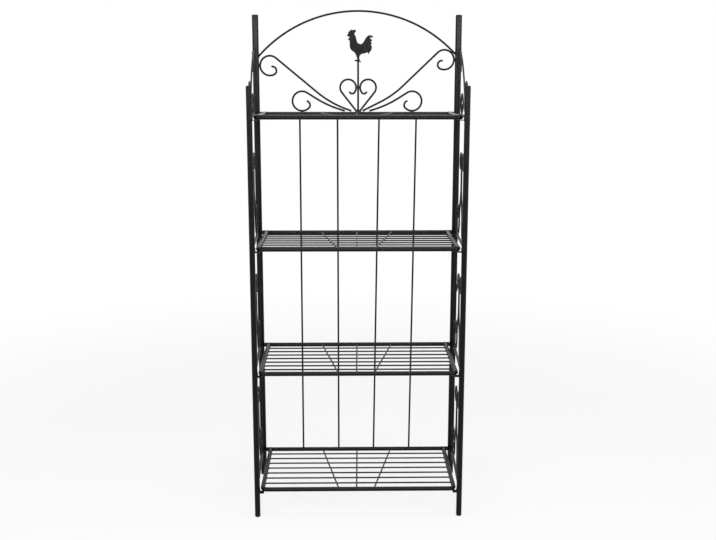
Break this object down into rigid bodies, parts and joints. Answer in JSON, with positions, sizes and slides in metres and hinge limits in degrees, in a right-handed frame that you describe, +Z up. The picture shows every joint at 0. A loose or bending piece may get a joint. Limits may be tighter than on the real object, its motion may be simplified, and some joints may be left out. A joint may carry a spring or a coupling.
{
  "type": "plant stand",
  "caption": "Folding plant stand with hinged wire shelves, scrolled side frames and a weathercock crown.",
  "frame": {"origin": "middle of the footprint, on the floor", "axes": "+Z up; the open front faces -Y; +X is to the viewer's right when facing the front"},
  "size_m": [0.626, 0.3219, 1.463],
  "materials": {
    "powder_coat": "satin black powder coat",
    "plastic_caps": "moulded black plastic"
  },
  "bodies": {
    "back_panel": {"left_upright": "powder_coat", "right_upright": "powder_coat", "upright_caps": "plastic_caps", "rear_foot_caps": "plastic_caps", "top_rail": "powder_coat", "upper_rail": "powder_coat", "lower_rail": "powder_coat", "bottom_rail": "powder_coat", "back_rods": "powder_coat", "crown_arch": "powder_coat", "left_large_scroll": "powder_coat", "right_large_scroll": "powder_coat", "left_small_scroll": "powder_coat", "right_small_scroll": "powder_coat", "left_heart_half": "powder_coat", "right_heart_half": "powder_coat", "spear_rod": "powder_coat", "bird_plate": "powder_coat", "left_hinge_barrels": "powder_coat", "right_hinge_barrels": "powder_coat"},
    "left_side": {"left_front_leg": "powder_coat", "left_leg_caps": "plastic_caps", "left_rear_bar": "powder_coat", "left_cross_bars": "powder_coat", "left_upper_bay_scrolls": "powder_coat", "left_middle_bay_scrolls": "powder_coat", "left_lower_bay_scrolls": "powder_coat", "left_shoulder_rod": "powder_coat", "left_perch_scroll": "powder_coat", "left_apron_rod": "powder_coat", "left_rest_brackets": "powder_coat"},
    "right_side": {"right_front_leg": "powder_coat", "right_leg_caps": "plastic_caps", "right_rear_bar": "powder_coat", "right_cross_bars": "powder_coat", "right_upper_bay_scrolls": "powder_coat", "right_middle_bay_scrolls": "powder_coat", "right_lower_bay_scrolls": "powder_coat", "right_shoulder_rod": "powder_coat", "right_perch_scroll": "powder_coat", "right_apron_rod": "powder_coat", "right_rest_brackets": "powder_coat"},
    "top_shelf": {"top_shelf_frame": "powder_coat", "top_shelf_sleeves": "powder_coat", "top_shelf_wires": "powder_coat", "top_shelf_fan_rods": "powder_coat"},
    "upper_shelf": {"upper_shelf_frame": "powder_coat", "upper_shelf_sleeves": "powder_coat", "upper_shelf_wires": "powder_coat", "upper_shelf_fan_rods": "powder_coat"},
    "lower_shelf": {"lower_shelf_frame": "powder_coat", "lower_shelf_sleeves": "powder_coat", "lower_shelf_wires": "powder_coat", "lower_shelf_fan_rods": "powder_coat"},
    "bottom_shelf": {"bottom_shelf_frame": "powder_coat", "bottom_shelf_sleeves": "powder_coat", "bottom_shelf_wires": "powder_coat", "bottom_shelf_fan_rods": "powder_coat"}
  },
  "joints": [
    {"name": "left_side_hinge", "type": "hinge", "parent": "back_panel", "child": "left_side", "pos_m": [-0.3065, 0.13349, 0.7], "axis": [0, 0, -1], "range_deg": [0, 90]},
    {"name": "right_side_hinge", "type": "hinge", "parent": "back_panel", "child": "right_side", "pos_m": [0.3065, 0.13349, 0.7], "axis": [0, 0, 1], "range_deg": [0, 90]},
    {"name": "top_shelf_hinge", "type": "hinge", "parent": "back_panel", "child": "top_shelf", "pos_m": [0, 0.14905, 1.158], "axis": [-1, 0, 0], "range_deg": [0, 65]},
    {"name": "upper_shelf_hinge", "type": "hinge", "parent": "back_panel", "child": "upper_shelf", "pos_m": [0, 0.14905, 0.795], "axis": [-1, 0, 0], "range_deg": [0, 88]},
    {"name": "lower_shelf_hinge", "type": "hinge", "parent": "back_panel", "child": "lower_shelf", "pos_m": [0, 0.14905, 0.435], "axis": [-1, 0, 0], "range_deg": [0, 88]},
    {"name": "bottom_shelf_hinge", "type": "hinge", "parent": "back_panel", "child": "bottom_shelf", "pos_m": [0, 0.14905, 0.084], "axis": [-1, 0, 0], "range_deg": [0, 88]}
  ]
}
